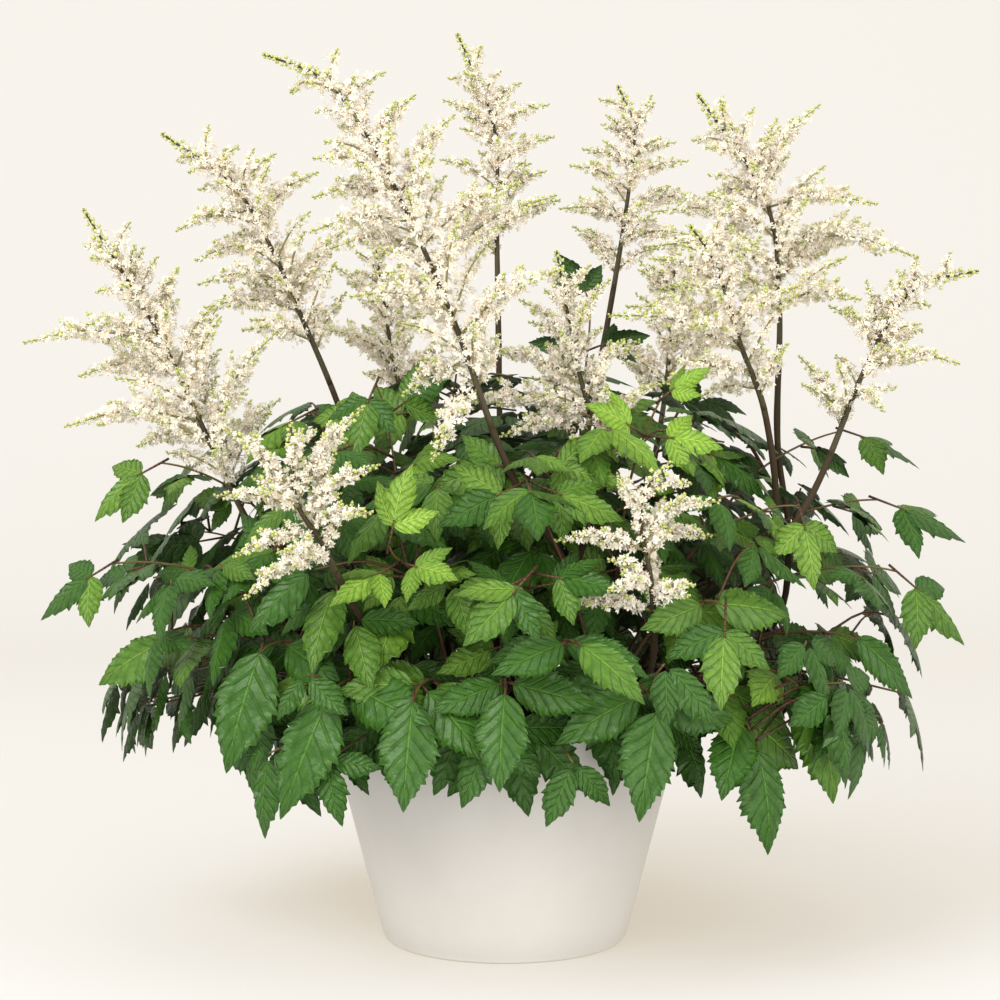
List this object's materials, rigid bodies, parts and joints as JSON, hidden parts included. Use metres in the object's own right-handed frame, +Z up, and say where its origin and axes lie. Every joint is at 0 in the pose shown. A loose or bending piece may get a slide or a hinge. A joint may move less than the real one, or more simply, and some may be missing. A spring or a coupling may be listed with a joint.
{
  "type": "potted astilbe plant",
  "caption": "White-flowered astilbe in a round tapered pot: feathery upright plumes on brown stalks above a mound of toothed compound leaves.",
  "frame": {"origin": "centre of the pot's flat underside, on the surface that it stands on", "axes": "+Z up, out of the pot; +X to the right and -Y towards the viewer in the picture's view"},
  "size_m": [0.5501, 0.4245, 0.5623],
  "materials": {
    "glaze": "satin warm white",
    "soil": "rough dark crumbled soil",
    "stem": "matte reddish brown stem",
    "bloom": "soft ivory florets",
    "leaf": "satin green leaf"
  },
  "bodies": {
    "root": {"pot": "glaze", "soil": "soil", "frond_01": "leaf", "frond_02": "leaf", "frond_03": "leaf", "frond_04": "leaf", "frond_05": "leaf", "frond_06": "leaf", "frond_07": "leaf", "frond_08": "leaf", "frond_09": "leaf", "frond_10": "leaf", "frond_11": "leaf", "frond_12": "leaf", "frond_13": "leaf", "frond_14": "leaf", "frond_15": "leaf", "frond_16": "leaf", "frond_17": "leaf", "frond_18": "leaf", "frond_19": "leaf", "frond_20": "leaf", "frond_21": "leaf", "frond_22": "leaf", "frond_23": "leaf", "frond_24": "leaf", "frond_25": "leaf", "frond_26": "leaf", "frond_27": "leaf", "frond_28": "leaf", "frond_29": "leaf", "frond_30": "leaf", "frond_31": "leaf", "frond_32": "leaf", "frond_33": "leaf", "plume_01": "bloom", "plume_02": "bloom", "plume_03": "bloom", "plume_04": "bloom", "plume_05": "bloom", "plume_06": "bloom", "plume_07": "bloom", "plume_08": "bloom", "plume_09": "bloom", "plume_10": "bloom", "plume_11": "bloom", "plume_12": "bloom", "plume_13": "bloom", "stalk_01": "stem", "stalk_02": "stem", "stalk_03": "stem", "stalk_04": "stem", "stalk_05": "stem", "stalk_06": "stem", "stalk_07": "stem", "stalk_08": "stem", "stalk_09": "stem", "stalk_11": "stem", "stalk_12": "stem", "stalk_13": "stem"}
  },
  "joints": []
}
